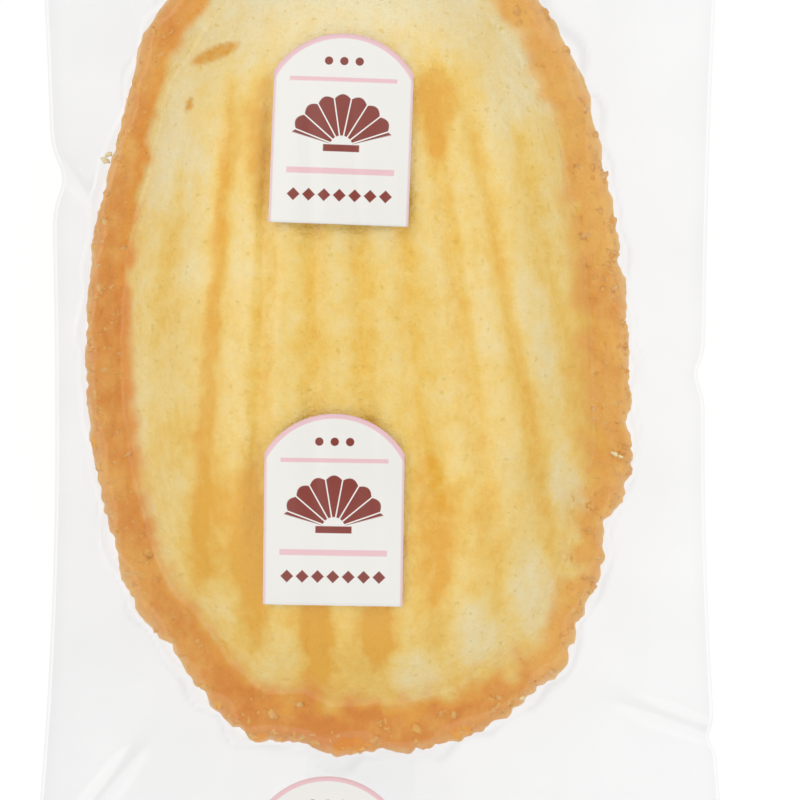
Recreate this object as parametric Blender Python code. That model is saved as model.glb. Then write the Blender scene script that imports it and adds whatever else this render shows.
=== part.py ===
"""Madeleine sealed in a clear film pack, built as the one outer solid of the pack.

The film clings to the cake, so the cake's ribs, rim and belly show as relief.
+X is the pack's width, +Y runs to the cake's hinge end, +Z is up.
The shell side faces up, and the pack rests on its flattened belly at z = 0.
Sizes are in millimetres, and build_sheet turns them into metres.
"""
import math

import bmesh
import bpy
from mathutils import Vector, noise

MM = 0.001

# Pack
PACK_HALF_LENGTH = 62.0
BAY_HALF_LENGTH = 53.0
SEAL_HALF_WIDTH = 33.2
WAIST_HALF_WIDTH = 29.9
WAIST_Y = -12.0
WIDEN_POWER = 2
FILM_EDGE = 0.3
FILM_GAP = 0.3
FILM_BLEND = 0.5
PILLOW_RISE = 2.8
PILLOW_POWER_ACROSS = 2.2
PILLOW_POWER_ALONG = 2.2
RIM_LEVEL = 10.0
END_DROOP = 2.4
DROOP_POWER = 3
END_WAVE = 0.5
END_WAVE_LENGTH = 47.0
WAVE_POWER = 4
TUCKS = (
    # side, y, depth, half length
    (-1, 12.2, 1.0, 2.2),
    (1, -5.9, 0.7, 1.6),
    (1, -39.2, 0.6, 1.1),
)
CREASES = (
    # start x, start y, end x, end y, height, half width
    (18.4, -34.2, 31.0, -39.0, 0.55, 1.1),
    (-31.0, 15.5, -24.5, 9.0, 0.5, 1.0),
    (-19.0, -36.0, -30.0, -50.0, 0.6, 1.2),
    (14.0, 38.5, 27.0, 51.5, 0.6, 1.2),
    (-16.0, 37.0, -29.0, 49.0, 0.6, 1.2),
)
CREASE_TAPER = 0.6
CREASE_CLEAR = 0.96
CREASE_FULL = 1.1

# End seals: crimps run along the pack, one for each tooth of the cut edge
SEAL_TEETH = 25
TOOTH_DEPTH = 1.2
TOOTH_START = 58.5
CRIMP_DEPTH = 0.4
CRIMP_START = 0.8

# Back fin seal, folded flat on the underside
FIN_LEFT = -6.8
FIN_RIGHT = 3.2
FIN_THICKNESS = 0.4
FIN_SOFTNESS = 0.5

# Cake outline, measured from its widest line
CAKE_X = -2.1
CAKE_Y = -5.9
CAKE_TILT = math.radians(1.0)
CAKE_HALF_WIDTH = 25.0
HINGE_LENGTH = 46.9
HINGE_POWER = 2.0
FAN_LENGTH = 35.1
FAN_POWER = 2.2
SWELLS = (
    # angle and half angle in degrees, height
    (-155.0, 18.0, -0.5),
    (-124.0, 7.0, -1.0),
    (-108.0, 3.0, 0.6),
    (-100.0, 3.5, -0.8),
    (-88.0, 4.0, -0.5),
    (-66.0, 10.0, 0.5),
    (-56.0, 3.5, 1.0),
    (-32.0, 4.0, -0.9),
    (-18.0, 7.0, 0.5),
    (52.0, 9.0, 0.8),
    (121.0, 4.0, 0.7),
    (134.0, 8.0, -0.4),
)
CRAG_DEPTH = 0.9
CRAG_SIZE = 3.4
CRAG_START = 0.8
CRAG_FULL = 0.95
DRAPE_START = 1.03
DRAPE_FULL = 0.97

# Cake heights, measured from the plane of its rim
SHELL_EDGE = 0.86
SHELL_RISE = 11.2
SHELL_POWER = 2.6
SHELL_ROUND = 0.8
SHELL_BLEND = 1.6
RIM_TOP = 1.9
RIM_UNDER = 1.2
BELLY_DROP = 9.4
BELLY_POWER = 2.3
BELLY_ROUND = 0.85
LUMP_HEIGHT = 0.3
LUMP_SIZE = 2.6
LUMP_LAYER = 7.0
LUMP_START = 0.7
LUMP_FULL = 0.9

# Ribs fan out from a point beyond the hinge end; their slopes are x over distance
FAN_X = -7.4
FAN_Y = 100.7
FIRST_GROOVE = 0.0125
RIB_PITCH = 0.0445
RIB_DEPTH = 0.6
GROOVE_POWER = 2
GROOVE_START = 0.86
GROOVE_FULL = 0.74
RIB_FADE_START = 30.0
RIB_FADE_END = 14.0

# Sampling of the solid
COLUMNS_PER_TOOTH = 6
ROWS = 156
KEPT_TRIANGLES = 0.098
CUTTER_SIZE = 200.0

CRUST_COLOR = (0.84, 0.59, 0.24, 1.0)


def clear_scene():
    """Remove whatever the open file holds."""
    for item in list(bpy.data.objects):
        bpy.data.objects.remove(item, do_unlink=True)


def ramp(start, end, value):
    """Smooth step from 0 at start to 1 at end."""
    part = min(max((value - start) / (end - start), 0.0), 1.0)
    return part * part * (3.0 - 2.0 * part)


def soft_max(first, second, blend):
    """The larger of two heights, rounded where they cross."""
    return (first + second + math.hypot(first - second, blend)) / 2.0


def ripple(x, y, size, layer=0.0):
    """Smooth noise between -1 and 1 with bumps about as wide as size."""
    return noise.noise(Vector((x / size, y / size, layer)))


def triangle_wave(position):
    """0 on whole numbers, 1 halfway between them."""
    return 1.0 - abs(2.0 * (position % 1.0) - 1.0)


def tooth_phase(across):
    """Teeth counted along an end seal whose two sides are at -1 and 1, whole at their tips."""
    return (across + 1.0) * SEAL_TEETH / 2.0 + 0.5


def outline_reach(angle):
    """From the middle of the cake's widest line to its outline without the crags."""
    length, power = (HINGE_LENGTH, HINGE_POWER) if math.sin(angle) > 0.0 else (FAN_LENGTH, FAN_POWER)
    across = abs(math.cos(angle) / CAKE_HALF_WIDTH) ** power
    along = abs(math.sin(angle) / length) ** power
    reach = (across + along) ** (-1.0 / power)
    for middle, half_angle, height in SWELLS:
        away = (math.degrees(angle) - middle + 180.0) % 360.0 - 180.0
        reach += height * math.exp(-((away / half_angle) ** 2))
    return reach


def cake_radius(x, y):
    """0 in the middle of the cake's widest line and 1 on its craggy outline."""
    across_pack = x - CAKE_X
    along_pack = y - CAKE_Y
    across = across_pack * math.cos(CAKE_TILT) + along_pack * math.sin(CAKE_TILT)
    along = along_pack * math.cos(CAKE_TILT) - across_pack * math.sin(CAKE_TILT)
    smooth = math.hypot(across, along) / outline_reach(math.atan2(along, across))
    crag = CRAG_DEPTH * ripple(x, y, CRAG_SIZE) / CAKE_HALF_WIDTH
    return smooth + crag * ramp(CRAG_START, CRAG_FULL, smooth)


def rib_dip(x, y, radius):
    """Depth of the groove between two ribs of the shell."""
    slope = (x - FAN_X) / (FAN_Y - y)
    turn = math.tau * (slope - FIRST_GROOVE) / RIB_PITCH
    groove = (0.5 + 0.5 * math.cos(turn)) ** GROOVE_POWER
    fade = ramp(GROOVE_START, GROOVE_FULL, radius) * ramp(RIB_FADE_START, RIB_FADE_END, y)
    return RIB_DEPTH * groove * fade


def shell_height(x, y):
    """Top of the cake above its rim plane: a flat craggy rim round a ribbed dome."""
    radius = cake_radius(x, y)
    sharp = SHELL_RISE * max(1.0 - (radius / SHELL_EDGE) ** SHELL_POWER, 0.0) ** SHELL_ROUND
    dome = soft_max(sharp, 0.0, SHELL_BLEND) - SHELL_BLEND / 2.0
    lumps = LUMP_HEIGHT * ripple(x, y, LUMP_SIZE, LUMP_LAYER) * ramp(LUMP_START, LUMP_FULL, radius)
    inside = ramp(DRAPE_START, DRAPE_FULL, radius)
    return inside * (RIM_TOP + lumps + dome - rib_dip(x, y, radius))


def belly_depth(x, y):
    """Underside of the cake below its rim plane, a smooth hump."""
    radius = cake_radius(x, y)
    hump = max(1.0 - radius ** BELLY_POWER, 0.0) ** BELLY_ROUND
    return ramp(DRAPE_START, DRAPE_FULL, radius) * (RIM_UNDER + BELLY_DROP * hump)


def half_width(y, side):
    """From the pack's centre line to its side fold, waisted and tucked in places."""
    end = PACK_HALF_LENGTH if y > WAIST_Y else -PACK_HALF_LENGTH
    reach = (y - WAIST_Y) / (end - WAIST_Y)
    width = WAIST_HALF_WIDTH + (SEAL_HALF_WIDTH - WAIST_HALF_WIDTH) * reach ** WIDEN_POWER
    for tuck_side, tuck_y, depth, half_length in TUCKS:
        if tuck_side == side:
            width -= depth * math.exp(-(((y - tuck_y) / half_length) ** 2))
    return width


def crease_rise(x, y):
    """Ridges where the free film is folded."""
    rise = 0.0
    for start_x, start_y, end_x, end_y, height, half_line in CREASES:
        run = Vector((end_x - start_x, end_y - start_y))
        offset = Vector((x - start_x, y - start_y))
        part = min(max(offset.dot(run) / run.length_squared, 0.0), 1.0)
        distance = (offset - part * run).length
        rise += height * ramp(0.0, CREASE_TAPER, part) * math.exp(-((distance / half_line) ** 2))
    return rise * ramp(CREASE_CLEAR, CREASE_FULL, cake_radius(x, y))


def free_film(x, y):
    """How far the film that touches nothing stands off the pack's middle plane."""
    across = min(abs(x) / half_width(y, 1 if x > 0.0 else -1), 1.0)
    along = min(abs(y) / BAY_HALF_LENGTH, 1.0)
    rise = (1.0 - across ** PILLOW_POWER_ACROSS) * (1.0 - along ** PILLOW_POWER_ALONG)
    crimp_turn = math.tau * tooth_phase(x / SEAL_HALF_WIDTH)
    crimp = CRIMP_DEPTH * (0.5 + 0.5 * math.cos(crimp_turn))
    crimp *= ramp(BAY_HALF_LENGTH, BAY_HALF_LENGTH + CRIMP_START, abs(y))
    return FILM_EDGE + PILLOW_RISE * rise + crimp


def middle_level(x, y):
    """Height of the side folds and end seals, which droop and wave a little."""
    reach = abs(y) / PACK_HALF_LENGTH
    turn = math.tau * x / END_WAVE_LENGTH + y / PACK_HALF_LENGTH
    wave = END_WAVE * math.sin(turn) * reach ** WAVE_POWER
    return RIM_LEVEL - END_DROOP * reach ** DROOP_POWER + wave


def top_level(x, y):
    """Outer surface of the film over the shell side."""
    over_cake = shell_height(x, y) + FILM_GAP
    outer = soft_max(over_cake, free_film(x, y), FILM_BLEND)
    return middle_level(x, y) + outer + crease_rise(x, y)


def under_level(x, y):
    """Outer surface of the film under the belly, with the fin seal on it."""
    under_cake = belly_depth(x, y) + FILM_GAP
    fin = FIN_THICKNESS * ramp(FIN_LEFT - FIN_SOFTNESS, FIN_LEFT, x)
    fin *= ramp(FIN_RIGHT + FIN_SOFTNESS, FIN_RIGHT, x)
    outer = soft_max(under_cake, free_film(x, y), FILM_BLEND)
    return middle_level(x, y) - outer - fin


def plan_point(across, along):
    """Place in the pack's plan of a grid point whose parts run from -1 to 1."""
    y = along * PACK_HALF_LENGTH
    x = across * half_width(y, 1 if across > 0.0 else -1)
    tooth = TOOTH_DEPTH * triangle_wave(tooth_phase(across))
    return x, y - math.copysign(tooth, y) * ramp(TOOTH_START, PACK_HALF_LENGTH, abs(y))


def build_sheet():
    """Mesh of the pack: a grid for the underside, extruded into the top."""
    solid = bmesh.new()
    columns = SEAL_TEETH * COLUMNS_PER_TOOTH
    bmesh.ops.create_grid(solid, x_segments=columns, y_segments=ROWS, size=1.0)
    raised = bmesh.ops.extrude_face_region(solid, geom=solid.faces[:])["geom"]
    upper = {item for item in raised if isinstance(item, bmesh.types.BMVert)}
    for vert in solid.verts:
        x, y = plan_point(vert.co.x, vert.co.y)
        z = top_level(x, y) if vert in upper else under_level(x, y)
        vert.co = Vector((x, y, z)) * MM
    bmesh.ops.recalc_face_normals(solid, faces=solid.faces[:])
    mesh = bpy.data.meshes.new("film_pack")
    solid.to_mesh(mesh)
    solid.free()
    return mesh


def crust_material():
    """Golden crust seen through clear film."""
    material = bpy.data.materials.new("crust_under_film")
    material.use_nodes = True
    shader = material.node_tree.nodes["Principled BSDF"]
    shader.inputs["Base Color"].default_value = CRUST_COLOR
    shader.inputs["Roughness"].default_value = 0.3
    shader.inputs["Metallic"].default_value = 0.0
    return material


def rest_cutter():
    """Block under the floor plane that flattens the belly where it rests."""
    block = bmesh.new()
    bmesh.ops.create_cube(block, size=CUTTER_SIZE * MM)
    bmesh.ops.translate(block, vec=(0.0, 0.0, -CUTTER_SIZE * MM / 2.0), verts=block.verts[:])
    mesh = bpy.data.meshes.new("rest_cutter")
    block.to_mesh(mesh)
    block.free()
    cutter = bpy.data.objects.new("rest_cutter", mesh)
    cutter.hide_render = True
    cutter.display_type = "WIRE"
    bpy.context.scene.collection.objects.link(cutter)
    return cutter


def build_pack():
    """The sealed pack as one solid, thinned to fewer triangles and cut flat below."""
    pack = bpy.data.objects.new("film_pack", build_sheet())
    bpy.context.scene.collection.objects.link(pack)
    pack.data.materials.append(crust_material())
    thin = pack.modifiers.new("fewer_triangles", "DECIMATE")
    thin.decimate_type = "COLLAPSE"
    thin.ratio = KEPT_TRIANGLES
    rest = pack.modifiers.new("flat_belly", "BOOLEAN")
    rest.operation = "DIFFERENCE"
    rest.solver = "EXACT"
    rest.object = rest_cutter()
    return pack


def main():
    """Build the model in an empty scene."""
    clear_scene()
    build_pack()


if __name__ == "__main__":
    main()
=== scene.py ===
"""A madeleine sealed in clear film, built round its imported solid.

The cake lies ribbed side up. Sizes are in metres, in the solid's own frame:
+X across the pack, +Y along it towards the cake's hinge end, +Z up.
"""
import math
import random

import bmesh
import bpy
from mathutils import Matrix, Vector, noise


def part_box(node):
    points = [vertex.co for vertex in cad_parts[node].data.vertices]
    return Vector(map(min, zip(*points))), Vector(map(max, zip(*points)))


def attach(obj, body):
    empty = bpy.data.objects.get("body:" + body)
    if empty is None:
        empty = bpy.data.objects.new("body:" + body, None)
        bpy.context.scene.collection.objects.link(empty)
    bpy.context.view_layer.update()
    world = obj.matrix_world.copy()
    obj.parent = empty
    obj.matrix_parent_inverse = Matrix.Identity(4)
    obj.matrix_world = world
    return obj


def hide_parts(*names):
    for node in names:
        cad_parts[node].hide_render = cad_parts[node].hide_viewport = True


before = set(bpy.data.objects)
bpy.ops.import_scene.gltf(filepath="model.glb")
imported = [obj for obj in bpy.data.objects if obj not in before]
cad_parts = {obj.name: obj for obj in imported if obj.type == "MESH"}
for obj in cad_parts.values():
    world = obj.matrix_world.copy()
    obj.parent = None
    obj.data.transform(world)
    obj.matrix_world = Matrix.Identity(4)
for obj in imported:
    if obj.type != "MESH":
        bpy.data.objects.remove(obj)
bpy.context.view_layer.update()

PACK_LOW, PACK_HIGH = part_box("film_pack")
PACK_HALF_LENGTH = (PACK_HIGH.y - PACK_LOW.y) / 2.0

bl_info = {
    "name": "Madeleine in Clear Film",
    "version": (1, 0, 0),
    "blender": (4, 5, 0),
    "location": "View3D > Sidebar > Madeleine",
    "description": "Builds a film-wrapped madeleine with its stage",
    "category": "Add Mesh",
}

MILLIMETRES = 1000.0

# Film creases and tucks, as the pack lies
TUCKS = (
    # side, y, depth, half length
    (-1, 0.0122, 0.0010, 0.0022),
    (1, -0.0059, 0.0007, 0.0016),
    (1, -0.0392, 0.0006, 0.0011),
)
CREASES = (
    # start x, start y, end x, end y, height, half width
    (0.0184, -0.0342, 0.0310, -0.0390, 0.00055, 0.0009),
    (-0.0310, 0.0155, -0.0245, 0.0090, 0.00050, 0.0008),
    (-0.0190, -0.0360, -0.0300, -0.0500, 0.00060, 0.0010),
    (0.0140, 0.0385, 0.0270, 0.0515, 0.00060, 0.0010),
    (-0.0160, 0.0370, -0.0290, 0.0490, 0.00060, 0.0010),
)
SEAL_TEETH = 25
TOOTH_DEPTH = 0.0012
TOOTH_START = 0.0585
CRIMP_DEPTH = 0.0004
CRIMP_START = 0.0008
FILM_SAG = 0.35
FIN_SLOPE = 0.0004
FILM_LIFT = 0.0004
PILLOW_ROUNDNESS = 2.2
SLACK = 0.00018
SLACK_SIZE = 0.011
FILM_EDGE = (1.03, 0.97)
LOWEST_FILM = 0.00005
FILM_COLUMNS_PER_TOOTH = 6
FILM_ROWS = 220

# Cake outline and ribs
SWELLS = (
    # angle and half angle in degrees, height
    (-155.0, 18.0, -0.0005),
    (-124.0, 7.0, -0.0010),
    (-108.0, 3.0, 0.0006),
    (-100.0, 3.5, -0.0008),
    (-88.0, 4.0, -0.0005),
    (-66.0, 10.0, 0.0005),
    (-56.0, 3.5, 0.0010),
    (-32.0, 4.0, -0.0009),
    (-18.0, 7.0, 0.0005),
    (52.0, 9.0, 0.0008),
    (121.0, 4.0, 0.0007),
    (134.0, 8.0, -0.0004),
)
RIM_CREASE = 0.86
FIRST_GROOVE = 0.0125
RIB_PITCH = 0.0445
FAN_POINT = (-0.0074, 0.1007)
CAKE_COLUMNS = 720
CAKE_RINGS = 134
TOP_SHARE = 0.72
RING_EASE = 1.35
HINGE_ROUNDNESS = 2.0
FAN_ROUNDNESS = 2.2
RIB_WANDER = 0.05
RIB_FADE = 0.12
RIB_ENDS = (0.030, 0.014)
DOME_ROUNDNESS = (2.6, 0.8)
DOME_BLEND = 0.0016
HUMP_ROUNDNESS = (2.3, 0.85)
WALL_ROUNDNESS = (26, 0.4)
CRAG_SIZE = 0.0034
LUMP_SIZE = 0.0013
BELLY_LUMP_SIZE = 0.0016
LUMP_HEIGHT = 0.0005
BELLY_LUMP_HEIGHT = 0.0002
SCAR_DEPTH = 0.00025
LOWEST_CAKE = 0.00065


def srgb(red, green, blue):
    """Linear colour with full alpha for a display colour of 0 to 255."""
    def linear(level):
        part = level / 255.0
        return part / 12.92 if part <= 0.04045 else ((part + 0.055) / 1.055) ** 2.4
    return (linear(red), linear(green), linear(blue), 1.0)


def angle_size(name, description, default):
    """A turn property, held in radians."""
    return bpy.props.FloatProperty(name=name, description=description, default=default, subtype="ANGLE")


def length(name, description, default):
    """A size property in metres."""
    return bpy.props.FloatProperty(
        name=name, description=description, default=default, unit="LENGTH", precision=5
    )


def colour(name, description, default):
    """A colour property, linear as Blender holds it."""
    return bpy.props.FloatVectorProperty(
        name=name, description=description, default=default, subtype="COLOR", size=4, min=0.0, max=1.0
    )


class PackSizes(bpy.types.PropertyGroup):
    """Sizes of the sealed film."""

    bay: length("Bay", "From the middle to where an end seal starts", 0.053)
    seal: length("Seal", "Half width of the flat end seals", 0.0332)
    waist: length("Waist", "Half width of the film tube round the cake", 0.0299)
    waist_y: length("Waist Place", "Where along the pack the tube is narrowest", -0.012)
    edge: length("Edge", "Half thickness of the flat film at folds and seals", 0.0003)
    gap: length("Gap", "From the cake to the outside of the film on it", 0.0003)
    pillow: length("Pillow", "How far the free film stands off the middle plane", 0.0028)
    rim_level: length("Rim Level", "Height of the side folds and of the cake's rim", 0.010)
    droop: length("Droop", "How far the end seals hang below the side folds", 0.0024)
    wave: length("Wave", "Height of the slow wave across the end seals", 0.0005)
    wave_length: length("Wave Length", "Length of that wave", 0.047)
    fin_left: length("Fin Left", "Left edge of the back fin seal", -0.0068)
    fin_right: length("Fin Right", "Right edge of the back fin seal", 0.0032)
    fin: length("Fin", "Thickness of the folded fin seal", 0.0004)


class CakeSizes(bpy.types.PropertyGroup):
    """Sizes of the madeleine."""

    x: length("X", "Middle of the widest line", -0.0021)
    y: length("Y", "Middle of the widest line", -0.0059)
    tilt: angle_size("Tilt", "Turn of the cake in its film", math.radians(1.0))
    half_width: length("Half Width", "Half of the widest line", 0.025)
    hinge: length("Hinge End", "From the widest line to the narrow end", 0.0469)
    fan: length("Fan End", "From the widest line to the broad end", 0.0351)
    rise: length("Rise", "Ribbed dome above the rim", 0.0112)
    rim_top: length("Rim Top", "Rim above its middle plane", 0.0019)
    rim_under: length("Rim Under", "Rim below its middle plane", 0.0012)
    belly: length("Belly", "Hump of the underside", 0.0094)
    rib: length("Rib", "Depth of the grooves between ribs", 0.0006)
    crag: length("Crag", "Depth of the large crags of the outline", 0.0009)
    crumb: length("Crumb", "Depth of the small crumbs of the rim", 0.0006)


class PrintSizes(bpy.types.PropertyGroup):
    """Sizes of the printed panels."""

    width: length("Width", "Width of a panel", 0.01275)
    height: length("Height", "Height of a panel to the top of its arch", 0.0175)
    arch: length("Arch", "Rise of the arched top", 0.0036)
    turn: angle_size("Turn", "Clockwise turn of the row of panels", math.radians(1.2))
    places: bpy.props.FloatVectorProperty(
        name="Places",
        description="Middles of the panels along the pack",
        default=(0.0512, 0.0165, -0.0182, -0.0516),
        size=4,
        unit="LENGTH",
        precision=5,
    )
    turns: bpy.props.FloatVectorProperty(
        name="Turns",
        description="Clockwise turn of each panel on the draped film",
        default=[math.radians(turn) for turn in (1.4, 2.1, 0.9, 0.7)],
        size=4,
        unit="ROTATION",
    )
    x: length("X", "Middle of the print across the pack, at the pack's middle", -0.0038)


class BakeColours(bpy.types.PropertyGroup):
    """Colours of cake, print and film."""

    pale: colour("Pale", "Least baked sponge", srgb(239, 224, 177))
    gold: colour("Gold", "Golden sponge on the rib crests", srgb(241, 208, 121))
    honey: colour("Honey", "Honey gold in the grooves", srgb(238, 196, 91))
    # Deep gold is partly the sponge's own colour and partly painted shadow: next to the printed panels it
    # paints their shadow on the cake.
    deep: colour("Deep", "Deep gold round the printed panels", srgb(232, 171, 41))
    amber: colour("Amber", "Small marks of caught crust", srgb(224, 158, 28))
    rim: colour("Rim", "Lightly browned rim", srgb(231, 176, 88))
    rim_dark: colour("Rim Dark", "Well browned parts of the rim", srgb(216, 134, 49))
    ember: colour("Ember", "Warm line where the rim's crust ends", srgb(228, 150, 46))
    fringe: colour("Fringe", "Crumbs along the outline", srgb(228, 188, 122))
    pore: colour("Pore", "Small pores of the sponge", srgb(222, 186, 66))
    panel: colour("Panel", "White ground of the print", srgb(235, 233, 228))
    pink: colour("Pink", "Pale figures of the print", srgb(232, 192, 197))
    maroon: colour("Maroon", "Dark figures of the print", srgb(134, 58, 48))
    film: colour("Film", "Tint of what the film mirrors", (0.55, 0.55, 0.55, 1.0))


def sizes():
    """The property groups of the scene: pack, cake, print and colours."""
    scene = bpy.context.scene
    return scene.madeleine_pack, scene.madeleine_cake, scene.madeleine_print, scene.madeleine_colours


# Shape of the pack and the cake


def ramp(start, end, value):
    """Smooth step from 0 at start to 1 at end."""
    part = min(max((value - start) / (end - start), 0.0), 1.0)
    return part * part * (3.0 - 2.0 * part)


def soft_max(first, second, blend=0.0005):
    """The larger of two heights, rounded where they cross."""
    return (first + second + math.hypot(first - second, blend)) / 2.0


def ripple(x, y, size, layer=0.0):
    """Smooth noise between -1 and 1 with bumps about as wide as size."""
    return noise.noise(Vector((x / size, y / size, layer)))


def crumbs(place, size, layer=0.0):
    """Rounded lumps with sharp creases between them, from 0 to 1."""
    nearest = noise.voronoi(Vector((place.x / size, place.y / size, place.z / size + layer)))[0][0]
    return 1.0 - min(nearest, 1.0) ** 2


def triangle_wave(position):
    """0 on whole numbers, 1 halfway between them."""
    return 1.0 - abs(2.0 * (position % 1.0) - 1.0)


def tooth_phase(across):
    """Teeth counted along an end seal whose two sides are at -1 and 1, whole at their tips."""
    return (across + 1.0) * SEAL_TEETH / 2.0 + 0.5


class CakeShape:
    """Heights of the cake over its plan, from the cake's sizes."""

    def __init__(self, cake):
        self.x, self.y = cake.x, cake.y
        self.cos, self.sin = math.cos(cake.tilt), math.sin(cake.tilt)
        self.half_width, self.hinge, self.fan = cake.half_width, cake.hinge, cake.fan
        self.rise, self.rim_top, self.rim_under = cake.rise, cake.rim_top, cake.rim_under
        self.belly, self.rib = cake.belly, cake.rib
        self.crag, self.crumb = cake.crag, cake.crumb

    def end(self, along):
        """Length and roundness of the end that a point lies towards."""
        return (self.hinge, HINGE_ROUNDNESS) if along > 0.0 else (self.fan, FAN_ROUNDNESS)

    def outline(self, angle):
        """From the middle to the smooth outline, at an angle in the cake's own axes."""
        reach, power = self.end(math.sin(angle))
        across = abs(math.cos(angle) / self.half_width) ** power
        along = abs(math.sin(angle) / reach) ** power
        return (across + along) ** (-1.0 / power) + self.swell(angle)

    def swell(self, angle):
        """Broad bulges and hollows of the outline at an angle."""
        total = 0.0
        for middle, half_angle, height in SWELLS:
            away = (math.degrees(angle) - middle + 180.0) % 360.0 - 180.0
            total += height * math.exp(-((away / half_angle) ** 2))
        return total

    def place(self, across, along):
        """Plan point of the pack for a point in the cake's own axes."""
        return (
            self.x + across * self.cos - along * self.sin,
            self.y + along * self.cos + across * self.sin,
        )

    def crag_at(self, x, y):
        """Large crags of the outline, as a share of the cake's half width."""
        return self.crag * ripple(x, y, CRAG_SIZE) / self.half_width

    def radius(self, x, y):
        """0 in the middle of the widest line and 1 on the craggy outline."""
        across_pack, along_pack = x - self.x, y - self.y
        across = across_pack * self.cos + along_pack * self.sin
        along = along_pack * self.cos - across_pack * self.sin
        smooth = math.hypot(across, along) / self.outline(math.atan2(along, across))
        return smooth + self.crag_at(x, y) * ramp(0.8, 0.95, smooth)

    def rib_count(self, x, y):
        """Ribs counted across the cake, whole at the grooves between them."""
        wander = RIB_WANDER * ripple(x, y, 0.006, layer=3.0)
        slope = (x - FAN_POINT[0]) / (FAN_POINT[1] - y)
        return (slope - FIRST_GROOVE) / RIB_PITCH + wander

    def groove(self, x, y, radius):
        """1 at the bottom of a groove between two ribs and 0 on their crests."""
        fade = ramp(RIM_CREASE, RIM_CREASE - RIB_FADE, radius) * ramp(*RIB_ENDS, y)
        return (0.5 + 0.5 * math.cos(math.tau * self.rib_count(x, y))) * fade

    def dome(self, radius):
        """Smooth ribless top above the rim plane."""
        power, ease = DOME_ROUNDNESS
        sharp = self.rise * max(1.0 - (radius / RIM_CREASE) ** power, 0.0) ** ease
        return soft_max(sharp, 0.0, DOME_BLEND) - DOME_BLEND / 2.0

    def hump(self, radius):
        """Smooth underside below the rim plane."""
        power, ease = HUMP_ROUNDNESS
        return self.belly * max(1.0 - radius ** power, 0.0) ** ease


class FilmShape:
    """Heights of the film over the pack's plan."""

    def __init__(self, pack, cake):
        self.pack = pack
        self.cake = CakeShape(cake)

    def half_width(self, y, side):
        """From the pack's centre line to its side fold, waisted and tucked in places."""
        pack = self.pack
        end = PACK_HALF_LENGTH if y > pack.waist_y else -PACK_HALF_LENGTH
        reach = (y - pack.waist_y) / (end - pack.waist_y)
        width = pack.waist + (pack.seal - pack.waist) * reach ** 2
        for tuck_side, tuck_y, depth, half_length in TUCKS:
            if tuck_side == side:
                width -= depth * math.exp(-(((y - tuck_y) / half_length) ** 2))
        return width

    def plan_point(self, across, along):
        """Place in the pack's plan of a grid point whose parts run from -1 to 1."""
        y = along * PACK_HALF_LENGTH
        x = across * self.half_width(y, 1 if across > 0.0 else -1)
        tooth = TOOTH_DEPTH * triangle_wave(tooth_phase(across))
        return x, y - math.copysign(tooth, y) * ramp(TOOTH_START, PACK_HALF_LENGTH, abs(y))

    def crease(self, x, y):
        """Ridges where the free film is folded."""
        rise = 0.0
        for start_x, start_y, end_x, end_y, height, half_line in CREASES:
            run = Vector((end_x - start_x, end_y - start_y))
            offset = Vector((x - start_x, y - start_y))
            part = min(max(offset.dot(run) / run.length_squared, 0.0), 1.0)
            distance = (offset - part * run).length
            rise += height * ramp(0.0, 0.6, part) * math.exp(-((distance / half_line) ** 2))
        return rise * ramp(0.96, 1.1, self.cake.radius(x, y))

    def crimp(self, x, y):
        """Ridges of the end seals, from 0 to 1."""
        turn = math.tau * tooth_phase(x / self.pack.seal)
        start = self.pack.bay
        return (0.5 + 0.5 * math.cos(turn)) * ramp(start, start + CRIMP_START, abs(y))

    def free(self, x, y):
        """How far film that touches nothing stands off the middle plane."""
        across = min(abs(x) / self.half_width(y, 1 if x > 0.0 else -1), 1.0)
        along = min(abs(y) / self.pack.bay, 1.0)
        rise = (1.0 - across ** PILLOW_ROUNDNESS) * (1.0 - along ** PILLOW_ROUNDNESS)
        return self.pack.edge + self.pack.pillow * rise + CRIMP_DEPTH * self.crimp(x, y)

    def middle(self, x, y):
        """Height of the side folds and end seals, which droop and wave a little."""
        pack = self.pack
        reach = abs(y) / PACK_HALF_LENGTH
        turn = math.tau * x / pack.wave_length + y / PACK_HALF_LENGTH
        return pack.rim_level - pack.droop * reach ** 3 + pack.wave * math.sin(turn) * reach ** 4

    def top(self, x, y):
        """Outside of the film over the ribbed side, which spans the grooves."""
        cake = self.cake
        radius = cake.radius(x, y)
        sag = FILM_SAG * cake.rib * cake.groove(x, y, radius) ** 3
        over = ramp(*FILM_EDGE, radius) * (cake.rim_top + FILM_LIFT + cake.dome(radius) - sag)
        slack = SLACK * ripple(x, y, SLACK_SIZE, layer=11.0) * ramp(0.95, 1.15, radius)
        height = soft_max(over + self.pack.gap, self.free(x, y)) + self.crease(x, y)
        return self.middle(x, y) + height + slack

    def under(self, x, y):
        """Outside of the film under the belly, flat where the pack rests."""
        pack, cake = self.pack, self.cake
        radius = cake.radius(x, y)
        below = ramp(*FILM_EDGE, radius) * (cake.rim_under + cake.hump(radius)) + pack.gap
        level = self.middle(x, y) - soft_max(below, self.free(x, y))
        return max(level, LOWEST_FILM + pack.fin * self.over_fin(x))

    def over_fin(self, x):
        """1 where the back fin seal lies under the film, 0 beside it."""
        left, right = self.pack.fin_left, self.pack.fin_right
        return ramp(left - FIN_SLOPE, left, x) * ramp(right + FIN_SLOPE, right, x)


# Meshes


def new_piece(name, solid, material):
    """Object at the origin for a finished bmesh, riding on the pack."""
    mesh = bpy.data.meshes.new(name)
    solid.to_mesh(mesh)
    solid.free()
    mesh.shade_smooth()
    mesh.materials.append(material)
    piece = bpy.data.objects.new(name, mesh)
    bpy.context.scene.collection.objects.link(piece)
    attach(piece, "root")
    return piece


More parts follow.
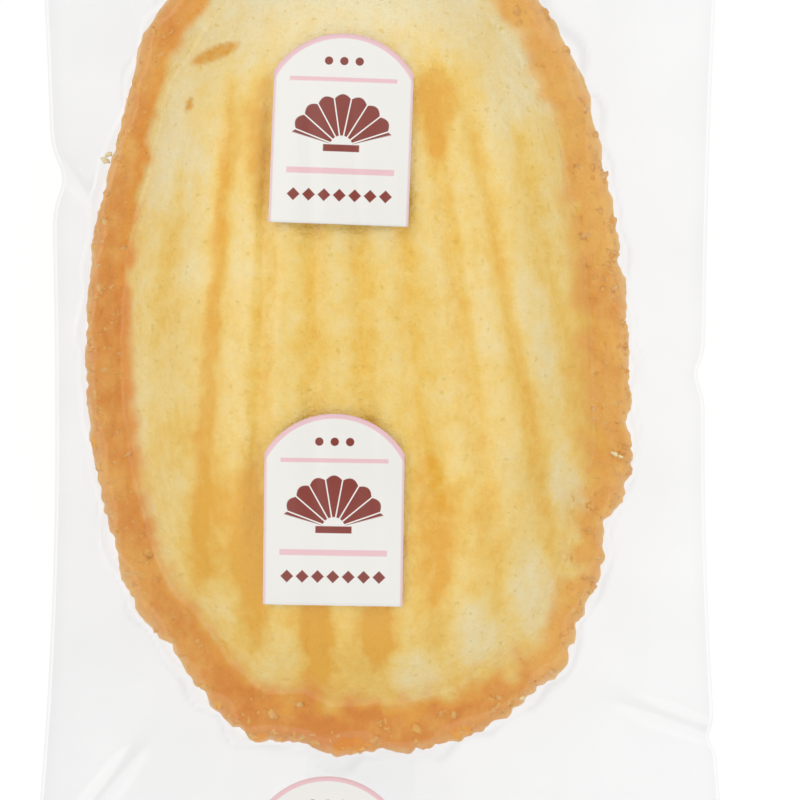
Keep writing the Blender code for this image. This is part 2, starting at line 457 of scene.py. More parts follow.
def two_sheets(solid, columns, rows):
    """A grid from -1 to 1 extruded into two sheets; gives the set of the upper one's points."""
    bmesh.ops.create_grid(solid, x_segments=columns, y_segments=rows, size=1.0)
    raised = bmesh.ops.extrude_face_region(solid, geom=solid.faces[:])["geom"]
    return {item for item in raised if isinstance(item, bmesh.types.BMVert)}


# Shader nodes


class Socket:
    """A node output that takes part in arithmetic; each operation adds a Math node."""

    def __init__(self, build, output):
        self.build = build
        self.output = output

    def math(self, operation, *values):
        """Output of a Math node over these values."""
        inputs = dict(enumerate(values))
        return self.build.add("ShaderNodeMath", {"operation": operation}, inputs)

    def __add__(self, other):
        return self.math("ADD", self, other)

    def __radd__(self, other):
        return self.math("ADD", other, self)

    def __sub__(self, other):
        return self.math("SUBTRACT", self, other)

    def __rsub__(self, other):
        return self.math("SUBTRACT", other, self)

    def __mul__(self, other):
        return self.math("MULTIPLY", self, other)

    def __rmul__(self, other):
        return self.math("MULTIPLY", other, self)

    def __truediv__(self, other):
        return self.math("DIVIDE", self, other)

    def __pow__(self, other):
        return self.math("POWER", self, other)

    def __abs__(self):
        return self.math("ABSOLUTE", self)

    def most(self, other):
        """The larger of two values."""
        return self.math("MAXIMUM", self, other)

    def step(self, start, end):
        """Smooth step from 0 where the value is start to 1 where it is end."""
        settings = {"interpolation_type": "SMOOTHSTEP"}
        rising = start < end
        low, high = (start, end) if rising else (end, start)
        inputs = {"Value": self, "From Min": low, "From Max": high}
        inputs.update({"To Min": 0.0 if rising else 1.0, "To Max": 1.0 if rising else 0.0})
        return self.build.add("ShaderNodeMapRange", settings, inputs)


class Nodes:
    """Builds a node tree."""

    def __init__(self, tree):
        self.tree = tree

    def feed(self, socket, value):
        """Link a value to a socket, or set it."""
        if isinstance(value, Socket):
            self.tree.links.new(value.output, socket)
        else:
            socket.default_value = value

    def add(self, kind, settings=None, inputs=None, output=0):
        """A node of this kind with its settings and inputs; gives one of its outputs."""
        node = self.tree.nodes.new(kind)
        for name, value in (settings or {}).items():
            setattr(node, name, value)
        for name, value in (inputs or {}).items():
            self.feed(node.inputs[name], value)
        return Socket(self, node.outputs[output])

    def split(self, vector):
        """The X, Y and Z of a vector."""
        node = self.add("ShaderNodeSeparateXYZ", inputs={0: vector}).output.node
        return [Socket(self, output) for output in node.outputs]


class Finish(Nodes):
    """A material under construction on one Principled node."""

    def __init__(self, name, roughness):
        self.material = bpy.data.materials.new(name)
        self.material.use_nodes = True
        super().__init__(self.material.node_tree)
        self.shader = self.tree.nodes["Principled BSDF"]
        self.shader.inputs["Roughness"].default_value = roughness

    def set(self, **inputs):
        """Feed the shader's own sockets, named with _ for a space."""
        for name, value in inputs.items():
            self.feed(self.shader.inputs[name.replace("_", " ").title()], value)

    def place(self):
        """Object coordinates, in metres."""
        return self.add("ShaderNodeTexCoord", output="Object")

    def attribute(self, name):
        """A value stored on the mesh's points."""
        return self.add("ShaderNodeAttribute", {"attribute_name": name}, output="Fac")

    def mix(self, share, first, second):
        """Colour between first at 0 and second at 1."""
        settings = {"data_type": "RGBA", "clamp_factor": True}
        inputs = {0: share, 6: first, 7: second}
        return self.add("ShaderNodeMix", settings, inputs, output=2)

    def stretched(self, place, scale):
        """Coordinates scaled along each axis."""
        return self.add("ShaderNodeMapping", inputs={"Vector": place, "Scale": scale})

    def noise(self, place, size, detail=2.0, roughness=0.5):
        """Noise around 0.5 with features of this size."""
        inputs = {"Vector": place, "Scale": 1.0 / size, "Detail": detail, "Roughness": roughness}
        return self.add("ShaderNodeTexNoise", inputs=inputs)

    def bump(self, height, distance):
        """Feed the shader's normal with relief of this height in metres."""
        inputs = {"Height": height, "Distance": distance, "Strength": 1.0}
        self.set(normal=self.add("ShaderNodeBump", inputs=inputs))


# Cake


# What the crust is like at a point: browned as the rim is, well baked, pale or gold, scarred,
# how many millimetres inside the outline, and on the warm line where the rim's crust ends
CAKE_LAYERS = ("toast", "baked", "tone", "scar", "inward", "ember")
CRUST_RELIEF = 0.00025
HONEY_TONE = 0.3
GOLD_TONE = 0.5
BROWNING = (
    # angle in degrees, width of the browned rim, softness of its inner edge, how well it is baked
    (-180.0, 0.0043, 0.0006, 0.65),
    (-135.0, 0.0043, 0.0012, 0.48),
    (-90.0, 0.0047, 0.0018, 0.84),
    (-45.0, 0.0028, 0.0017, 0.30),
    (0.0, 0.0042, 0.0020, 0.40),
    (50.0, 0.0044, 0.0014, 0.18),
    (90.0, 0.0038, 0.0010, 0.35),
    (130.0, 0.0037, 0.0007, 0.55),
    (180.0, 0.0043, 0.0006, 0.65),
)
ROUGHEST = math.radians(-50.0)
FRAY_SIZE = 0.0022
SCARS = (
    # x, y, half length, half width, angle
    (-0.0151, 0.0236, 0.0022, 0.00062, math.radians(21.0)),
    (-0.0175, 0.0189, 0.0007, 0.00030, math.radians(72.0)),
)
TONES = (
    # x, y, half width, half length, tone from -1, deep gold, to 1, pale
    (-0.0020, 0.0400, 0.0220, 0.0165, 1.3),
    (0.0133, 0.0215, 0.0034, 0.0050, 0.7),
    (-0.0160, 0.0235, 0.0050, 0.0040, 0.3),
    # The next eight patches lie against the printed panels: their deep gold is painted shadow of the panels
    # on the cake.
    (0.0050, 0.0188, 0.0022, 0.0044, -1.0),
    (-0.0108, 0.0155, 0.0012, 0.0075, -0.6),
    (-0.0140, -0.0205, 0.0033, 0.0068, -0.8),
    (-0.0114, -0.0215, 0.0018, 0.0080, -0.75),
    (-0.0057, -0.0305, 0.0012, 0.0056, -0.9),
    (-0.0003, -0.0285, 0.0013, 0.0036, -0.85),
    (-0.0030, -0.0300, 0.0075, 0.0050, -0.45),
    (0.0046, -0.0205, 0.0026, 0.0075, -0.6),
    (0.0202, -0.0030, 0.0034, 0.0170, -0.6),
    (-0.0185, -0.0340, 0.0070, 0.0080, -0.45),
    (0.0020, -0.0370, 0.0160, 0.0040, -0.3),
)
CREST_TONES = (
    # rib, y, half width in ribs, half length, tone
    (-3.3, 0.0150, 0.60, 0.0060, 0.7),
    (-2.6, 0.0130, 0.42, 0.0080, 0.3),
    (-2.5, 0.0035, 0.42, 0.0020, 0.4),
    (-3.1, -0.0082, 0.42, 0.0050, 0.35),
    (-2.5, -0.0118, 0.42, 0.0028, -0.3),
    (-2.0, -0.0010, 0.17, 0.0240, -0.5),
    (-1.5, 0.0155, 0.42, 0.0045, -0.4),
    (-1.5, 0.0045, 0.42, 0.0035, 0.25),
    (-1.5, -0.0265, 0.42, 0.0028, 0.4),
    (-0.5, -0.0312, 0.42, 0.0018, 0.25),
    (0.5, 0.0048, 0.42, 0.0020, 0.2),
    (1.5, 0.0075, 0.42, 0.0020, 0.2),
    (1.5, -0.0335, 0.42, 0.0024, 0.7),
    (2.5, -0.0200, 0.42, 0.0045, -0.35),
    (2.5, -0.0298, 0.42, 0.0028, 0.6),
    (3.5, -0.0005, 0.42, 0.0040, 0.2),
    (3.5, -0.0258, 0.42, 0.0042, 0.65),
    (4.0, -0.0080, 0.18, 0.0200, -0.25),
    (4.5, -0.0008, 0.42, 0.0060, 0.4),
    (4.5, -0.0160, 0.42, 0.0026, 0.7),
    (4.6, 0.0160, 0.42, 0.0040, 0.4),
)


def browning(angle):
    """Width of the browned rim, softness of its inner edge and how well it is baked, at an angle."""
    turn = math.degrees(angle)
    for first, last in zip(BROWNING, BROWNING[1:]):
        if turn <= last[0]:
            share = ramp(first[0], last[0], turn)
            return tuple(low + (high - low) * share for low, high in zip(first[1:], last[1:]))
    return BROWNING[-1][1:]


def scar_at(x, y):
    """1 inside one of the small amber marks of the crust."""
    strongest = 0.0
    for mark_x, mark_y, half_length, half_width, angle in SCARS:
        along = ((x - mark_x) * math.cos(angle) + (y - mark_y) * math.sin(angle)) / half_length
        across = ((y - mark_y) * math.cos(angle) - (x - mark_x) * math.sin(angle)) / half_width
        strongest = max(strongest, ramp(1.25, 0.8, math.hypot(along, across)))
    return strongest


def tone_at(shape, x, y, groove):
    """How pale the crust is, from 0, deep gold, through honey and gold to 1, pale; the deep gold patches
    against the printed panels are painted shadow.
    """
    tone = -0.38 * groove ** 1.4
    frayed_x = x + 0.0007 * ripple(x, y, FRAY_SIZE, layer=1.0)
    frayed_y = y + 0.0012 * ripple(x, y, FRAY_SIZE, layer=2.0)
    for patch_x, patch_y, half_width, half_length, strength in TONES:
        away = ((frayed_x - patch_x) / half_width) ** 2 + ((frayed_y - patch_y) / half_length) ** 2
        tone += strength * math.exp(-away * away)
    rib = shape.rib_count(0.5 * (x + frayed_x), y)
    for patch_rib, patch_y, half_width, half_length, strength in CREST_TONES:
        away = ((rib - patch_rib) / half_width) ** 2 + ((frayed_y - patch_y) / half_length) ** 2
        tone += strength * math.exp(-away * away)
    return 0.5 + 0.5 * tone


def share_at(turn):
    """Share of the radius for a share of the way from the crest to the outline."""
    return 1.0 - (1.0 - turn) ** RING_EASE


def ragged_edge(shape, angle, x, y):
    """How far the outline's crags and crumbs stand out at an angle and its point of the smooth outline."""
    rough = shape.crumb * (0.85 + 0.35 * math.cos(angle - ROUGHEST))
    ragged = 0.25 * shape.crag * ripple(x, y, CRAG_SIZE)
    ragged += rough * (crumbs(Vector((x, y, 0.0)), LUMP_SIZE) - 0.55)
    return ragged + 0.4 * rough * ripple(x, y, 0.0006, layer=5.0)


def ribbed_height(shape, x, y, share, groove):
    """Crust above the middle plane of the rim, with its ribs, grain, lumps and scars."""
    lump = crumbs(Vector((x, y, 0.0)), LUMP_SIZE) - 0.5
    grain = 0.00005 * ripple(x, y, 0.0007, layer=2.0) + 0.00008 * ripple(x, y, 0.0021, layer=4.0)
    flange = ramp(RIM_CREASE - 0.03, RIM_CREASE + 0.015, share)
    height = shape.rim_top + shape.dome(share) - shape.rib * groove ** 2
    return height + (grain + LUMP_HEIGHT * lump * flange - SCAR_DEPTH * scar_at(x, y))


def belly_depth(shape, x, y, share):
    """Crust below the middle plane of the rim, with its lumps."""
    lump = crumbs(Vector((x, y, 0.0)), BELLY_LUMP_SIZE, layer=9.0) - 0.5
    return shape.rim_under + shape.hump(share) + BELLY_LUMP_HEIGHT * lump


def cake_point(shape, level, angle, share, side):
    """Point of the crust and what it is like there, for each of CAKE_LAYERS."""
    reach = shape.outline(angle)
    rim_x, rim_y = shape.place(reach * math.cos(angle), reach * math.sin(angle))
    width, softness, baked = browning(angle)
    width += 0.0004 * ripple(rim_x, rim_y, 0.0030, layer=6.0)
    inward = (1.0 - share) * reach
    reach = share * reach + ragged_edge(shape, angle, rim_x, rim_y) * ramp(0.8, 0.97, share)
    x, y = shape.place(reach * math.cos(angle), reach * math.sin(angle))
    groove = shape.groove(x, y, share)
    blur = softness * (ripple(x, y, 0.0019) + 0.3 * ripple(x, y, 0.0008, layer=8.0))
    toast = ramp(width + softness, width - softness, inward + blur)
    ember = ramp(width - 0.0018, width - 0.0004, inward + blur) * toast
    power, ease = WALL_ROUNDNESS
    wall = max(1.0 - share ** power, 0.0) ** ease
    if side > 0:
        z = level + ribbed_height(shape, x, y, share, groove) * wall
        scar = scar_at(x, y)
    else:
        z = max(level - belly_depth(shape, x, y, share) * wall, LOWEST_CAKE)
        toast = 0.5 + 0.5 * toast
        scar = 0.0
    tone = tone_at(shape, x, y, groove)
    return Vector((x, y, z)), (toast, baked, tone, scar, inward * MILLIMETRES, ember)


def cake_mesh(cake, pack):
    """The madeleine: a sphere's rings laid out over the ribbed top, the rim and the belly."""
    shape = CakeShape(cake)
    solid = bmesh.new()
    bmesh.ops.create_uvsphere(solid, u_segments=CAKE_COLUMNS, v_segments=CAKE_RINGS, radius=1.0)
    layers = [solid.verts.layers.float.new(name) for name in CAKE_LAYERS]
    for vert in solid.verts:
        angle = math.atan2(vert.co.y, vert.co.x)
        turn = math.acos(max(min(vert.co.z, 1.0), -1.0)) / math.pi
        side = 1 if turn < TOP_SHARE else -1
        part = turn / TOP_SHARE if side > 0 else (1.0 - turn) / (1.0 - TOP_SHARE)
        vert.co, values = cake_point(shape, pack.rim_level, angle, share_at(part), side)
        for layer, value in zip(layers, values):
            vert[layer] = value
    bmesh.ops.recalc_face_normals(solid, faces=solid.faces[:])
    return solid


def cake_material(colours):
    """Baked sponge: pale to deep gold with small pores, and a browned crumbly rim; painted shade darkens it
    near the outline, and the deep gold against the printed panels is painted shadow.
    """
    crust = Finish("baked_sponge", roughness=0.62)
    place = crust.place()
    inward = crust.attribute("inward")
    toast = crust.attribute("toast")
    streaked = crust.stretched(place, (1.0, 0.7, 1.0))
    mottle = crust.noise(streaked, 0.0015, detail=3.0, roughness=0.7) - 0.5
    blotch = crust.noise(place, 0.0045, detail=2.0, roughness=0.6) - 0.5
    fine = crust.noise(place, 0.0009, detail=3.0, roughness=0.65) - 0.5
    tone = crust.attribute("tone") + mottle * 0.75 + blotch * 0.25
    base = crust.mix(tone / HONEY_TONE, tuple(colours.deep), tuple(colours.honey))
    base = crust.mix((tone - HONEY_TONE) / (GOLD_TONE - HONEY_TONE), base, tuple(colours.gold))
    base = crust.mix((tone - GOLD_TONE) / (1.0 - GOLD_TONE), base, tuple(colours.pale))
    pores = crust.noise(place, 0.0006, detail=1.0).step(0.67, 0.76)
    base = crust.mix(pores * 0.5, base, tuple(colours.pore))
    base = crust.mix(crust.attribute("scar") * (0.9 + fine), base, tuple(colours.amber))
    baked = crust.attribute("baked")
    patchy = baked + blotch + mottle * 0.9
    rim = crust.mix(patchy.step(0.0, 1.0), tuple(colours.rim), tuple(colours.rim_dark))
    rim = crust.mix(crust.attribute("ember") * baked * 1.3, rim, tuple(colours.ember))
    crumbly = inward.step(1.0, 0.1) * (mottle * 1.5 + 0.5).step(0.2, 0.9)
    rim = crust.mix(crumbly, rim, tuple(colours.fringe))
    base = crust.mix(toast, base, rim)
    # Painted shade: the sponge is darker near the outline, fully within 7 millimetres and fading out by 14,
    # where the dome slopes down to the rim; the browned rim is lightened and the fine grain varies the
    # lightness.
    value = 0.98 + toast * 0.07 + inward.step(7.0, 14.0) * 0.075 + fine * 0.06
    crust.set(base_color=crust.add("ShaderNodeHueSaturation", inputs={"Color": base, "Value": value}))
    crust.bump(fine * 1.3 - pores * 0.12, distance=CRUST_RELIEF)
    return crust.material


# Film


FILM_COVER = 0.0555
FIN_COVER = 0.010
FULL_CREASE = 0.0004
SIDE_FOLD = (0.0016, 0.0002)
FIN_GRID = (12, 180)
FIN_SHORT = 0.0005
FIN_GAP = 0.00008
FIN_THICKNESS = 0.00018
LOWEST_FIN = 0.00001


def film_mesh(pack, cake):
    """The sealed film as one closed skin, with a layer that marks its folds and a ring of painted shadow
    just outside the cake.
    """
    shape = FilmShape(pack, cake)
    solid = bmesh.new()
    # The layer comes first, because the set of points isn't valid after one is added.
    # The fold layer marks the folds and also holds the ring of painted shadow round the cake.
    fold = solid.verts.layers.float.new("fold")
    upper = two_sheets(solid, SEAL_TEETH * FILM_COLUMNS_PER_TOOTH, FILM_ROWS)
    for vert in solid.verts:
        x, y = shape.plan_point(vert.co.x, vert.co.y)
        z = shape.top(x, y) if vert in upper else shape.under(x, y)
        inside = shape.half_width(y, 1 if x > 0.0 else -1) - abs(x)
        creased = min(shape.crease(x, y) / FULL_CREASE, 1.0) * 0.5 + 0.5 * shape.crimp(x, y)
        radius = shape.cake.radius(x, y)
        # Painted shadow: a ring just outside the cake's outline gets more cover, so the film there darkens
        # the floor beneath like the cake's shadow.
        beside = ramp(0.98, 1.0, radius) * ramp(1.04, 1.02, radius)
        vert[fold] = creased + 0.3 * ramp(*SIDE_FOLD, inside) + beside
        vert.co = Vector((x, y, z))
    bmesh.ops.recalc_face_normals(solid, faces=solid.faces[:])
    return solid


def film_material(colours, name, cover):
    """Thin clear film that covers this share: it mirrors more at grazing angles, along folds and in the
    ring of painted shadow round the cake.
    """
    film = Finish(name, roughness=0.12)
    place = film.place()
    # The fold layer also carries the ring of painted shadow round the cake.
    fold = film.attribute("fold")
    facing = film.add("ShaderNodeLayerWeight", inputs={"Blend": 0.35}, output="Facing")
    wrinkle = film.noise(place, 0.009, detail=3.0)
    across, along, _ = film.split(place)
    cloud = wrinkle - 0.5 - across * 8.0 - along * 2.0
    alpha = cover * (1.0 + fold + cloud + facing ** 3.0 * 3.5)
    film.set(base_color=tuple(colours.film), metallic=1.0, alpha=alpha)
    return film.material


def fin_mesh(pack, cake):
    """The back fin seal: a strip folded flat under the film."""
    shape = FilmShape(pack, cake)
    solid = bmesh.new()
    upper = two_sheets(solid, *FIN_GRID)
    for vert in solid.verts:
        x = (pack.fin_left + pack.fin_right) / 2.0 + vert.co.x * (pack.fin_right - pack.fin_left) / 2.0
        y = vert.co.y * (pack.bay - FIN_SHORT)
        level = shape.under(x, y) - FIN_GAP
        z = level if vert in upper else level - FIN_THICKNESS
        vert.co = Vector((x, y, max(z, LOWEST_FIN)))
    bmesh.ops.recalc_face_normals(solid, faces=solid.faces[:])
    return solid


# Print


PANEL_GRID = (36, 50)
PANEL_TOP = 0.00008
PANEL_UNDER = 0.00003
INK_PITCH = 0.7


def panel_mesh(sizes_of_print, pack, cake, middle, turn):
    """A printed panel with an arched top, laid on the film; its UV map is in panel widths."""
    shape = FilmShape(pack, cake)
    solid = bmesh.new()
    upper = two_sheets(solid, *PANEL_GRID)
    half = sizes_of_print.width / 2.0
    low = -sizes_of_print.height / 2.0
    shoulder = -low - sizes_of_print.arch
    round_top = (half ** 2 + sizes_of_print.arch ** 2) / (2.0 * sizes_of_print.arch)
    centre_x = sizes_of_print.x + middle * math.sin(sizes_of_print.turn)
    centre_y = middle * math.cos(sizes_of_print.turn)
    places = {}
    for vert in solid.verts:
        across = vert.co.x * half
        arch = math.sqrt(round_top ** 2 - across ** 2) - (round_top - sizes_of_print.arch)
        along = low + (vert.co.y + 1.0) / 2.0 * (shoulder + arch - low)
        places[vert] = (across, along)
        x = centre_x + across * math.cos(turn) + along * math.sin(turn)
        y = centre_y + along * math.cos(turn) - across * math.sin(turn)
        lift = PANEL_TOP if vert in upper else PANEL_UNDER
        vert.co = Vector((x, y, shape.top(x, y) + lift))
    bmesh.ops.recalc_face_normals(solid, faces=solid.faces[:])
    uv = solid.loops.layers.uv.new("panel")
    for face in solid.faces:
        for loop in face.loops:
            across, along = places[loop.vert]
            loop[uv].uv = (0.5 + across / sizes_of_print.width, 0.5 + along / sizes_of_print.width)
    return solid


def print_material(sizes_of_print, colours):
    """White panel with a pink arch and bars, a maroon scallop shell and rows of diamonds and dots."""
    ink = Finish("label_print", roughness=0.35)
    u, v, _ = ink.split(ink.add("ShaderNodeUVMap", {"uv_map": "panel"}))
    # From here on, lengths are in millimetres from the panel's middle.
    width = sizes_of_print.width * MILLIMETRES
    x = (u - 0.5) * width
    y = (v - 0.5) * width
    half, tall = width / 2.0, sizes_of_print.height * MILLIMETRES / 2.0
    arch = sizes_of_print.arch * MILLIMETRES
    round_top = (half ** 2 + arch ** 2) / (2.0 * arch)
    above = (y - (tall - round_top)).most(0.0)
    from_arch = round_top - (x * x + above * above) ** 0.5
    border = from_arch.step(0.50, 0.38).most((half - abs(x)).step(0.30, 0.16) * 0.7)
    hinge = -1.7
    rise = y - hinge
    distance = (x * x + rise * rise) ** 0.5
    angle = x.math("ARCTAN2", x, rise)
    lobes = abs(x.math("COSINE", angle * 9.0))
    shell = (distance - lobes * 0.4).step(4.5, 4.4) * abs(angle).step(1.32, 1.28)
    shell = shell * (lobes * distance).step(0.45, 0.65) * distance.step(1.0, 1.1)
    shell = shell.most(abs(rise + 0.1).step(0.36, 0.28) * abs(x).step(1.7, 1.6))
    printed = abs(x).step(4.95, 4.85)
    bars = abs(y + 3.9).step(0.32, 0.22).most(abs(y - 4.5).step(0.24, 0.14)) * printed
    beat = x.math("PINGPONG", x + 20.0 * INK_PITCH, INK_PITCH)
    diamonds = (beat + abs(y + 6.1)).step(0.64, 0.54) * printed
    dots = (beat * beat + (y - 6.2) ** 2.0).step(0.17, 0.12) * abs(x).step(2.2, 2.0)
    base = ink.mix(border.most(bars), tuple(colours.panel), tuple(colours.pink))
    base = ink.mix(shell.most(diamonds).most(dots), base, tuple(colours.maroon))
    ink.set(base_color=base)
    return ink.material


# Crumbs


LOOSE_CRUMBS_AND_SPECKS = (
    # x, y, z, size
    (-0.0253, 0.0139, 0.0100, 0.00030),
    (-0.0250, 0.0144, 0.0102, 0.00022),
    # The last three are pale specks on the right rim.
    (0.0215, -0.0131, 0.0122, 0.00022),
    (0.0221, -0.0134, 0.0121, 0.00016),
    (0.0131, -0.0356, 0.0118, 0.00018),
)
RIM_CRUMBS = 650
CRUMB_SEED = 11
CRUMB_SQUASH = (1.4, 0.9, 0.65)
# Least and range of a crumb's distance from the outline and of its radius, and the share on the ribbed side
CRUMB_INWARD = (0.0005, 0.0030)
CRUMB_SIZE = (0.00016, 0.00034)
CRUMBS_ON_TOP = 0.7


def crumb_balls(places):
    """Lumpy balls of sponge, one for each middle and radius, each with a shade of its own."""
    solid = bmesh.new()
    bmesh.ops.create_icosphere(solid, subdivisions=2, radius=1.0)
    number = solid.verts.layers.int.new("number")
    shade = solid.verts.layers.float.new("shade")
    count = 1
    while count < len(places):
        doubled = bmesh.ops.duplicate(solid, geom=solid.verts[:] + solid.edges[:] + solid.faces[:])["geom"]
        for item in doubled:
            if isinstance(item, bmesh.types.BMVert):
                item[number] += count
        count *= 2
    spare = [vert for vert in solid.verts if vert[number] >= len(places)]
    bmesh.ops.delete(solid, geom=spare, context="VERTS")
    draw = random.Random(CRUMB_SEED)
    turns = [Matrix.Rotation(draw.uniform(0.0, math.tau), 3, "Z") for _ in places]
    squash = Matrix.Diagonal(CRUMB_SQUASH)
    shades = [draw.random() for _ in places]
    for vert in solid.verts:
        middle, size = places[vert[number]]
        lump = 1.0 + 0.9 * noise.noise(vert.co * 1.3 + middle * MILLIMETRES)
        vert[shade] = shades[vert[number]]
        vert.co = turns[vert[number]] @ squash @ vert.co * lump * size + middle
    return solid


def rim_crumb_mesh(pack, cake):
    """Crumbs that stand out of the browned rim."""
    shape = CakeShape(cake)
    draw = random.Random(CRUMB_SEED)
    places = []
    for _ in range(RIM_CRUMBS):
        angle = draw.uniform(-math.pi, math.pi)
        inward = CRUMB_INWARD[0] + CRUMB_INWARD[1] * draw.random() ** 2
        share = 1.0 - inward / shape.outline(angle)
        size = CRUMB_SIZE[0] + CRUMB_SIZE[1] * draw.random() ** 2
        side = 1 if draw.random() < CRUMBS_ON_TOP else -1
        middle, _ = cake_point(shape, pack.rim_level, angle, share, side)
        places.append((middle - Vector((0.0, 0.0, 0.55 * size * side)), size))
    return crumb_balls(places)


def loose_crumb_and_speck_mesh():
    """Crumbs that came off and lie beside the rim, and pale specks on the rim."""
    return crumb_balls([(Vector((x, y, z)), size) for x, y, z, size in LOOSE_CRUMBS_AND_SPECKS])


def crumb_material(colours):
    """Sponge crumb between tan and brown."""
    crumb = Finish("sponge_crumb", roughness=0.75)
    shade = crumb.attribute("shade")
    grain = crumb.noise(crumb.place(), 0.0004)
    base = crumb.mix(shade.step(0.0, 1.3), tuple(colours.rim), tuple(colours.fringe))
    crumb.set(base_color=crumb.mix(grain.step(0.3, 0.8) * 0.7, base, tuple(colours.rim_dark)))
    return crumb.material


def pale_crumb_material(colours):
    """Pale sponge colour for the loose crumbs and the specks."""
    crumb = Finish("pale_crumb", roughness=0.75)
    crumb.set(base_color=tuple(colours.pale))
    return crumb.material


# Stage


WHITE = (1.0, 1.0, 1.0, 1.0)
PHOTO_PIXELS = 800
METRES_PER_PIXEL = 0.0000919
VIEW_CENTRE = (0.00184, -0.0082)
CAMERA_HEIGHT = 0.9
SENSOR = 36.0
FLOOR_GLOW = 0.92
FLOOR_LEVEL = -0.0002


def add_floor():
    """Bright pale floor that shows hardly any shadow."""
    solid = bmesh.new()
    bmesh.ops.create_grid(solid, x_segments=1, y_segments=1, size=1.5)
    bmesh.ops.translate(solid, vec=(0.0, 0.0, FLOOR_LEVEL), verts=solid.verts[:])
    mesh = bpy.data.meshes.new("floor")
    solid.to_mesh(mesh)
    solid.free()
    finish = Finish("pale_floor", roughness=0.9)
    finish.set(base_color=(0.08, 0.08, 0.08, 1.0), emission_color=WHITE, emission_strength=FLOOR_GLOW)
    mesh.materials.append(finish.material)
    floor = bpy.data.objects.new("floor", mesh)
    bpy.context.scene.collection.objects.link(floor)


def add_light(name, place, size, watts):
    """Large soft lamp that points at the cake."""
    data = bpy.data.lights.new(name, "AREA")
    data.energy = watts
    data.size = size
    lamp = bpy.data.objects.new(name, data)
    lamp.location = place
    lamp.rotation_euler = (-Vector(place)).to_track_quat("-Z", "Y").to_euler()
    bpy.context.scene.collection.objects.link(lamp)


def add_world():
    """White surroundings, softer near the horizon and dark where flat film mirrors them."""
    world = bpy.data.worlds.new("white_room")
    world.use_nodes = True
    bpy.context.scene.world = world
    nodes = Nodes(world.node_tree)
    height = nodes.split(nodes.add("ShaderNodeTexCoord", output="Generated"))[2]
    strength = (0.7 + 0.6 * height.step(0.0, 0.7)) * (1.0 - 0.85 * height.step(0.85, 0.95))
    ground = world.node_tree.nodes["Background"]
    nodes.feed(ground.inputs["Color"], WHITE)
    nodes.feed(ground.inputs["Strength"], strength)


def add_camera():
    """Long lens straight above, framed as the photograph."""
    data = bpy.data.cameras.new("camera")
    data.sensor_width = SENSOR
    _, cake, _, _ = sizes()
    rim = bpy.context.scene.madeleine_pack.rim_level + cake.rim_top
    data.lens = SENSOR * (CAMERA_HEIGHT - rim) / (PHOTO_PIXELS * METRES_PER_PIXEL)
    data.clip_start = 0.05
    camera = bpy.data.objects.new("camera", data)
    camera.location = (*VIEW_CENTRE, CAMERA_HEIGHT)
    bpy.context.scene.collection.objects.link(camera)
    bpy.context.scene.camera = camera


# Operators


class MADELEINE_OT_cake(bpy.types.Operator):
    """Add the madeleine itself"""

    bl_idname = "madeleine.cake"
    bl_label = "Cake"

    def execute(self, context):
        pack, cake, _, colours = sizes()
        piece = new_piece("madeleine", cake_mesh(cake, pack), cake_material(colours))
        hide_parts("film_pack")
        return {"FINISHED"}


class MADELEINE_OT_film(bpy.types.Operator):
    """Add the clear film and its back fin seal"""

    bl_idname = "madeleine.film"
    bl_label = "Film"

    def execute(self, context):
        pack, cake, _, colours = sizes()
        material = film_material(colours, "clear_film", FILM_COVER)
        piece = new_piece("film", film_mesh(pack, cake), material)
        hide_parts("film_pack")
        material = film_material(colours, "clear_fin", FIN_COVER)
        new_piece("back_fin", fin_mesh(pack, cake), material)
        return {"FINISHED"}


class MADELEINE_OT_panels(bpy.types.Operator):
    """Add the printed panels on the film"""

    bl_idname = "madeleine.panels"
    bl_label = "Printed Panels"

    def execute(self, context):
        pack, cake, sizes_of_print, colours = sizes()
        material = print_material(sizes_of_print, colours)
        placed = zip(sizes_of_print.places, sizes_of_print.turns)
        for number, (middle, turn) in enumerate(placed, start=1):
            solid = panel_mesh(sizes_of_print, pack, cake, middle, turn)
            new_piece(f"printed_panel_{number}", solid, material)
        return {"FINISHED"}


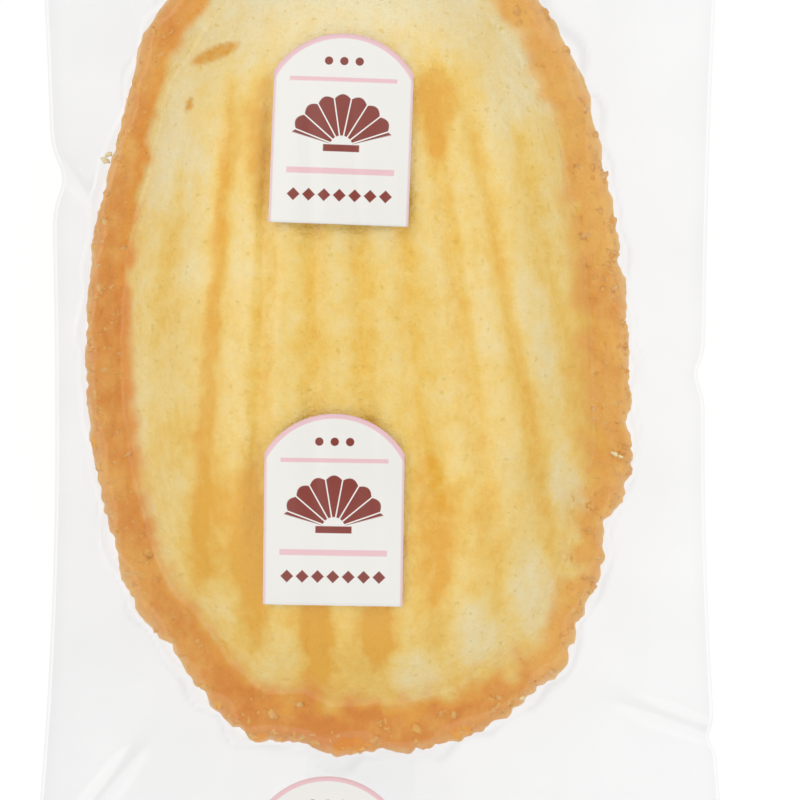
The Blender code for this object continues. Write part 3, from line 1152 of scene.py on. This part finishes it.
class MADELEINE_OT_crumbs(bpy.types.Operator):
    """Add the crumbs on the rim, and the loose crumbs and pale specks in the film"""

    bl_idname = "madeleine.crumbs"
    bl_label = "Crumbs"

    def execute(self, context):
        pack, cake, _, colours = sizes()
        new_piece("rim_crumbs", rim_crumb_mesh(pack, cake), crumb_material(colours))
        new_piece("loose_crumbs", loose_crumb_and_speck_mesh(), pale_crumb_material(colours))
        return {"FINISHED"}


class MADELEINE_OT_stage(bpy.types.Operator):
    """Add the floor, the light and the camera"""

    bl_idname = "madeleine.stage"
    bl_label = "Stage"

    def execute(self, context):
        add_floor()
        add_world()
        add_light("softbox_left", (-0.5, 0.45, 0.75), 0.7, 0.6)
        add_camera()
        context.scene.view_settings.view_transform = "Standard"
        return {"FINISHED"}


class MADELEINE_PT_pieces(bpy.types.Panel):
    """Lists the pieces of the wrapped madeleine"""

    bl_label = "Madeleine"
    bl_idname = "MADELEINE_PT_pieces"
    bl_space_type = "VIEW_3D"
    bl_region_type = "UI"
    bl_category = "Madeleine"

    def draw(self, context):
        for operator in OPERATORS:
            self.layout.operator(operator.bl_idname)


GROUPS = {
    "madeleine_pack": PackSizes,
    "madeleine_cake": CakeSizes,
    "madeleine_print": PrintSizes,
    "madeleine_colours": BakeColours,
}
OPERATORS = (
    MADELEINE_OT_stage,
    MADELEINE_OT_cake,
    MADELEINE_OT_film,
    MADELEINE_OT_panels,
    MADELEINE_OT_crumbs,
)
CLASSES = (*GROUPS.values(), *OPERATORS, MADELEINE_PT_pieces)


def register():
    """Register the classes and hang the property groups on the scene."""
    for item in CLASSES:
        bpy.utils.register_class(item)
    for name, group in GROUPS.items():
        setattr(bpy.types.Scene, name, bpy.props.PointerProperty(type=group))


def unregister():
    """Undo register."""
    for name in GROUPS:
        delattr(bpy.types.Scene, name)
    for item in reversed(CLASSES):
        bpy.utils.unregister_class(item)


def main():
    """Build every piece."""
    register()
    bpy.ops.madeleine.stage()
    bpy.ops.madeleine.cake()
    bpy.ops.madeleine.film()
    bpy.ops.madeleine.panels()
    bpy.ops.madeleine.crumbs()


if __name__ == "__main__":
    main()
